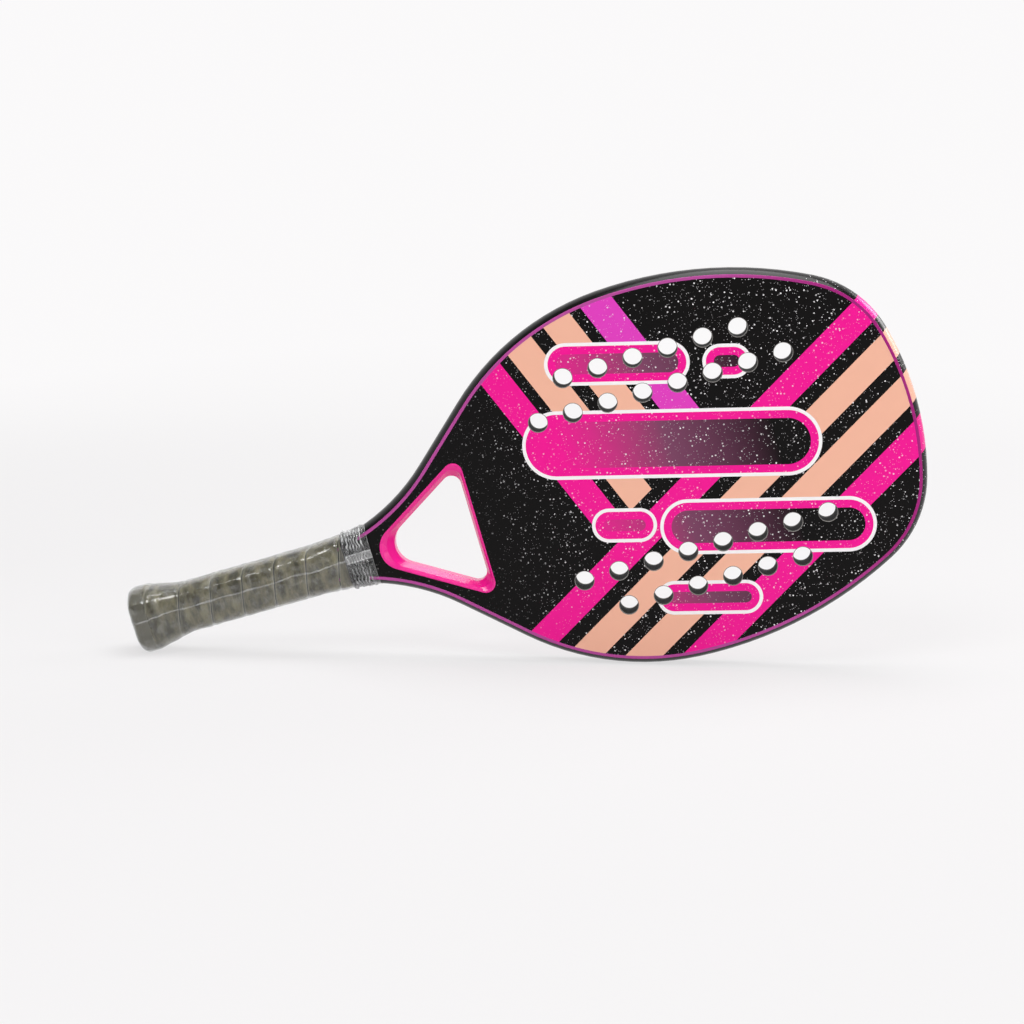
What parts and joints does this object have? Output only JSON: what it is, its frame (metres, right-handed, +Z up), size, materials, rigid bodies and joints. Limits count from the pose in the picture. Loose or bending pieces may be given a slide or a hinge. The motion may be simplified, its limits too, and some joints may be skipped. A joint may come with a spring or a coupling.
{
  "type": "beach tennis racket",
  "caption": "Solid-faced beach tennis racket with a foam core, a drilled face, a hollow rim, an open throat and a short taped handle under clear film.",
  "frame": {"origin": "middle of the box round the racket, at floor level, with the racket standing on its edge", "axes": "+Z up, +X from the butt towards the tip and upwards, -Y out of the front face; the racket's own axis rises from +X by about 17.2 degrees, so that the head's side and the butt's corner both touch the floor"},
  "size_m": [0.4909, 0.0404, 0.2443],
  "materials": {
    "frame_lacquer": "gloss black lacquer over the carbon tube, with pink and peach stripes near the tip",
    "face_print": "gloss black print with white speckles, pink, peach and violet stripes and a purple edge line",
    "liner_pink": "gloss hot pink moulding",
    "eva_foam": "black closed-cell foam",
    "filler_foam": "pale rigid foam",
    "glue_film": "cured adhesive film",
    "bladder_nylon": "thin milky nylon film",
    "bridge_carbon": "bare carbon composite",
    "shell_plastic": "dark moulded plastic",
    "cap_plastic": "black moulded plastic",
    "staple_steel": "plated wire",
    "grip_olive": "dark olive-grey synthetic grip tape with a soft sheen",
    "finish_tape": "black adhesive tape",
    "clear_film": "clear glossy shrink film with creases"
  },
  "bodies": {
    "root": {"frame_tube": "frame_lacquer", "frame_bladder": "bladder_nylon", "tube_end_plugs": "filler_foam", "throat_bridge": "bridge_carbon", "bridge_foam": "filler_foam", "throat_foam": "filler_foam", "throat_liner": "liner_pink", "core_foam": "eva_foam", "front_glue_film": "glue_film", "back_glue_film": "glue_film", "front_face": "face_print", "back_face": "face_print", "handle_core": "filler_foam", "handle_shell_front": "shell_plastic", "handle_shell_back": "shell_plastic", "butt_cap": "cap_plastic", "butt_plug": "cap_plastic", "butt_staples": "staple_steel", "grip_tape": "grip_olive", "finishing_tape": "finish_tape", "film_sleeve": "clear_film"}
  },
  "joints": []
}
